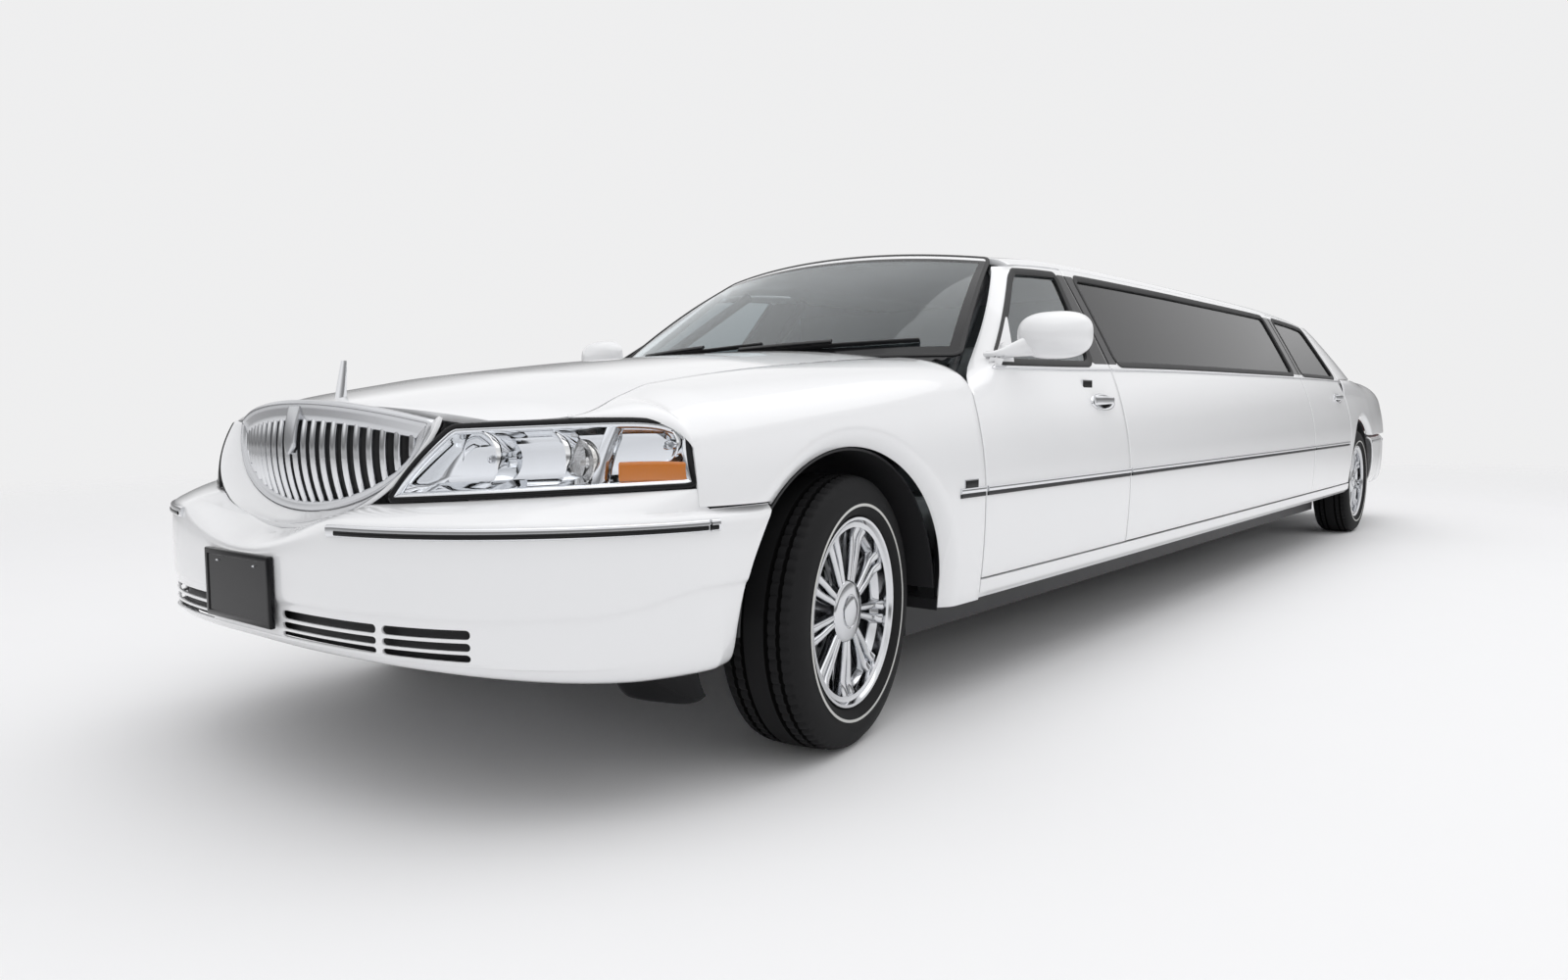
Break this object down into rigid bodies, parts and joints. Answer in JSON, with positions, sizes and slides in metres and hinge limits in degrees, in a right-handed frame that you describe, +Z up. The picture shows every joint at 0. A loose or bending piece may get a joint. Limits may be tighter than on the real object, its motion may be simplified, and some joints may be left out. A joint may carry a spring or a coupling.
{
  "type": "stretch limousine",
  "caption": "White stretch limousine with a long tinted side window between its doors, bright grille, steered front wheels, swinging doors, lifting hood and trunk lid.",
  "frame": {"origin": "middle of the car's box at the ground", "axes": "-Y forward, +X to the car's left, +Z up"},
  "size_m": [2.304, 8.519, 1.4992],
  "materials": {
    "white_paint": "glossy white paint",
    "chrome": "bright plate",
    "reflector": "bright lamp housing",
    "clear_lens": "clear lamp lens",
    "red_lens": "red lamp lens",
    "clear_glass": "lightly tinted glass",
    "tinted_glass": "dark tinted glass",
    "dark_steel": "black coated steel",
    "cast_metal": "cast metal",
    "steel": "plain steel",
    "dark_plastic": "black moulded plastic",
    "leather": "dark hide",
    "tyre": "black rubber"
  },
  "bodies": {
    "body": {"frame": "dark_steel", "floor_pan": "dark_steel", "wheel_liners": "dark_plastic", "front_arms": "dark_steel", "rear_axle": "dark_steel", "pillars": "dark_steel", "engine": "cast_metal", "driveline": "cast_metal", "exhaust": "steel", "fuel_tank": "dark_steel", "front_bumper": "white_paint", "plate_holder": "dark_plastic", "headlamp_housings": "reflector", "headlamp_lenses": "clear_lens", "front_fenders": "white_paint", "cowl": "dark_plastic", "windshield": "clear_glass", "long_panels": "white_paint", "long_windows": "tinted_glass", "rockers": "white_paint", "rear_quarters": "white_paint", "sail_panels": "white_paint", "rear_shelf": "white_paint", "roof": "white_paint", "rear_window": "tinted_glass", "tail_lamps": "red_lens", "rear_bumper": "white_paint", "dashboard": "dark_plastic", "steering_wheel": "dark_plastic", "front_seats": "leather", "partition": "dark_plastic", "benches": "leather"},
    "knuckle_left": {"knuckle_left": "dark_steel"},
    "knuckle_right": {"knuckle_right": "dark_steel"},
    "wheel_front_left": {"rim_front_left": "chrome", "tyre_front_left": "tyre"},
    "wheel_front_right": {"rim_front_right": "chrome", "tyre_front_right": "tyre"},
    "wheel_rear_left": {"rim_rear_left": "chrome", "tyre_rear_left": "tyre"},
    "wheel_rear_right": {"rim_rear_right": "chrome", "tyre_rear_right": "tyre"},
    "front_door_left": {"front_door_left": "white_paint", "front_glass_left": "tinted_glass", "mirror_left": "white_paint"},
    "front_door_right": {"front_door_right": "white_paint", "front_glass_right": "tinted_glass", "mirror_right": "white_paint"},
    "rear_door_left": {"rear_door_left": "white_paint", "rear_glass_left": "tinted_glass"},
    "rear_door_right": {"rear_door_right": "white_paint", "rear_glass_right": "tinted_glass"},
    "hood": {"hood": "white_paint", "nose_panel": "white_paint", "grille_ring": "chrome", "grille_bars": "chrome"},
    "trunk_lid": {"trunk_lid": "white_paint"}
  },
  "joints": [
    {"name": "steer_left", "type": "hinge", "parent": "body", "child": "knuckle_left", "pos_m": [0.745, -3.1695, 0.351], "axis": [0, 0, 1], "range_deg": [-43, 23]},
    {"name": "steer_right", "type": "hinge", "parent": "body", "child": "knuckle_right", "pos_m": [-0.745, -3.1695, 0.351], "axis": [0, 0, 1], "range_deg": [-43, 23]},
    {"name": "spin_front_left", "type": "hinge", "parent": "knuckle_left", "child": "wheel_front_left", "pos_m": [0.83166, -3.15422, 0.351], "axis": [0.9848, 0.1736, 0], "continuous": true},
    {"name": "spin_front_right", "type": "hinge", "parent": "knuckle_right", "child": "wheel_front_right", "pos_m": [-0.83166, -3.18478, 0.351], "axis": [0.9848, 0.1736, 0], "continuous": true},
    {"name": "spin_rear_left", "type": "hinge", "parent": "body", "child": "wheel_rear_left", "pos_m": [0.833, 2.8685, 0.351], "axis": [1, 0, 0], "continuous": true},
    {"name": "spin_rear_right", "type": "hinge", "parent": "body", "child": "wheel_rear_right", "pos_m": [-0.833, 2.8685, 0.351], "axis": [1, 0, 0], "continuous": true},
    {"name": "swing_front_left", "type": "hinge", "parent": "body", "child": "front_door_left", "pos_m": [0.953, -2.6195, 0.59], "axis": [0, 0, -1], "range_deg": [0, 65]},
    {"name": "swing_front_right", "type": "hinge", "parent": "body", "child": "front_door_right", "pos_m": [-0.953, -2.6195, 0.59], "axis": [0, 0, 1], "range_deg": [0, 65]},
    {"name": "swing_rear_left", "type": "hinge", "parent": "body", "child": "rear_door_left", "pos_m": [0.953, 1.3305, 0.59], "axis": [0, 0, -1], "range_deg": [0, 65]},
    {"name": "swing_rear_right", "type": "hinge", "parent": "body", "child": "rear_door_right", "pos_m": [-0.953, 1.3305, 0.59], "axis": [0, 0, 1], "range_deg": [0, 65]},
    {"name": "lift_hood", "type": "hinge", "parent": "body", "child": "hood", "pos_m": [0, -2.6595, 0.985], "axis": [-1, 0, 0], "range_deg": [0, 50]},
    {"name": "lift_trunk", "type": "hinge", "parent": "body", "child": "trunk_lid", "pos_m": [0, 3.3985, 1.018], "axis": [1, 0, 0], "range_deg": [0, 70]}
  ],
  "couplings": [
    {"joint": "steer_right", "follows": "steer_left", "ratio": 1}
  ]
}
